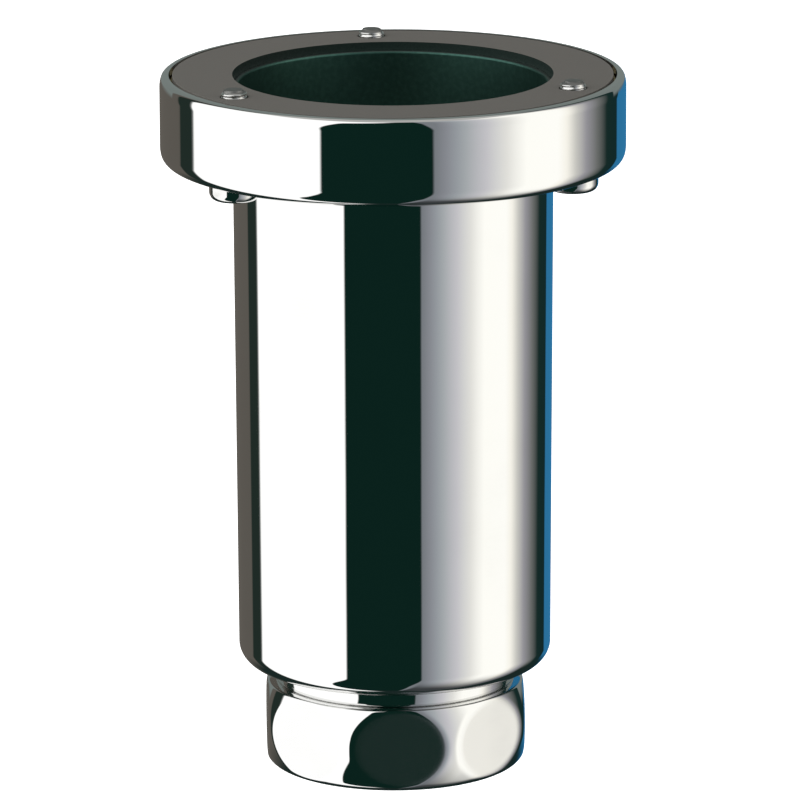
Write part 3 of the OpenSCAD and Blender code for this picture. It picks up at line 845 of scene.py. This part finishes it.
def build_nut(material):
    """The coupling nut: a turned barrel whose polished flats meet it in soft edges, threaded inside."""
    low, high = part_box("coupling_nut")
    height = high.z - low.z
    arc_x = NUT_BARREL_R - NUT_ARC_R
    centre_z = low.z + NUT_ARC_H

    def tangent(round_r, centre_gap):
        """Radius from the axis to the centre of an edge round that the barrel's arc runs into."""
        reach = NUT_ARC_R - round_r
        return arc_x + math.sqrt(reach ** 2 - centre_gap ** 2), math.degrees(math.asin(centre_gap / reach))

    low_r, low_angle = tangent(NUT_LOWER_ROUND, NUT_ARC_H - NUT_LOWER_ROUND)
    high_r, high_angle = tangent(NUT_UPPER_ROUND, height - NUT_UPPER_ROUND - NUT_ARC_H)
    flat_turn = math.radians(NUT_ANGLE - 90)
    step = TURN / NUT_FLATS

    def flats(r, z, angle):
        off = (angle - flat_turn + step / 2) % step - step / 2
        flat_r = NUT_AF / 2 / math.cos(off)
        share = min(1.0, max(0.0, 0.5 + (r - flat_r) / (2 * NUT_SOFTNESS)))
        return r + (flat_r - r) * share - NUT_SOFTNESS * share * (1 - share), z

    bore_low = low.z + NUT_THREAD_H
    thread = helix(OUTLET_PITCH, -OUTLET_DEPTH, bore_low, high.z, NUT_FADE)
    barrel = (
        arc(low_r, low.z + NUT_LOWER_ROUND, NUT_LOWER_ROUND, -90, -low_angle, 22)
        + arc(arc_x, centre_z, NUT_ARC_R, -low_angle, high_angle, 84)[1:]
        + arc(high_r, high.z - NUT_UPPER_ROUND, NUT_UPPER_ROUND, high_angle, 90, 8)[1:]
    )
    outline = (
        plain([(PIPE_BORE_R, low.z + EDGE_BEVEL), (PIPE_BORE_R + EDGE_BEVEL, low.z)])
        + shaped(barrel, flats)
        + plain([(NUT_BORE_R + NUT_BORE_BEVEL, high.z)])
        + shaped(line((NUT_BORE_R, high.z - NUT_BORE_BEVEL), (NUT_BORE_R, bore_low), 100), thread)
        + plain([(NUT_BORE_R, bore_low), (NUT_CAVITY_R, bore_low)])
        + plain([(NUT_CAVITY_R, low.z + NUT_LIP), (PIPE_BORE_R, low.z + NUT_LIP)])
    )
    piece = turned("coupling_nut_polished", outline, 512, crease=40)
    finish_piece(piece, "nut", "chrome_nut", material, "coupling_nut")


# ---------------------------------------------------------------- the trap
CUP_INSIDE = (36.45 * MM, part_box("body_cup")[0].z + CUP_ROUND)
GASKET_EDGES = (GASKET_HOLE_R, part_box("flange_gasket")[1].x)
TIP_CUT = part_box("flange_screws")[1].z - 0.8 * SCREW_TIP_CHAMFER

FINISHES = {
    "flange_ring": cast_metal("cast_brass", (0.52, 0.41, 0.2), (0.24, 0.18, 0.09)),
    "flange_gasket": rubber(
        "grey_rubber", (0.124, 0.117, 0.106), (0.162, 0.153, 0.14), (0.138, 0.13, 0.12), GASKET_EDGES
    ),
    "collar_seal": rubber("black_rubber", (0.02, 0.02, 0.02), (0.034, 0.034, 0.034), (0.03, 0.03, 0.032)),
    "spigot_seal": fibre("fibre", (0.36, 0.13, 0.08), (0.2, 0.06, 0.04)),
    "back_nut": turned_metal("raw_brass", (0.78, 0.58, 0.27), (0.5, 0.35, 0.16), 0.24, 3200.0),
    "standpipe": plastic("white_plastic", (0.78, 0.77, 0.72), (0.72, 0.71, 0.65), 0.34),
    "bell": plastic("bell_plastic", (0.7, 0.69, 0.63), (0.63, 0.62, 0.56), 0.38),
    "bell_knob": turned_metal("knob_steel", (0.6, 0.6, 0.59), (0.46, 0.46, 0.45), 0.16, 2600.0),
    "thrust_ring": plastic("slip_plastic", (0.82, 0.82, 0.8), (0.76, 0.76, 0.74), 0.24),
}
FINISHES["standpipe_seal"] = FINISHES["collar_seal"]
FINISHES["knob_seal"] = FINISHES["collar_seal"]
FINISHES["cone_seal"] = FINISHES["collar_seal"]
FINISHES["knob_nut"] = FINISHES["back_nut"]

for node_name, finish in FINISHES.items():
    for material_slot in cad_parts[node_name].material_slots:
        material_slot.material = finish

build_cover(chrome("chrome_flange", PLATE, 0.02, 0.05))
build_cup(chrome("chrome_body", PLATE, 0.02, 0.05, CUP_INSIDE))
build_screws(plated_steel("screw_steel", (0.8, 0.8, 0.78), (0.6, 0.6, 0.58), TIP_CUT))
build_spigot(chrome("chrome_outlet", PLATE, 0.03, 0.07))
build_nut(chrome("chrome_nut", PLATE, 0.025, 0.06, satin_flats=0.19))
build_world()
build_floor()
build_light()
build_camera()
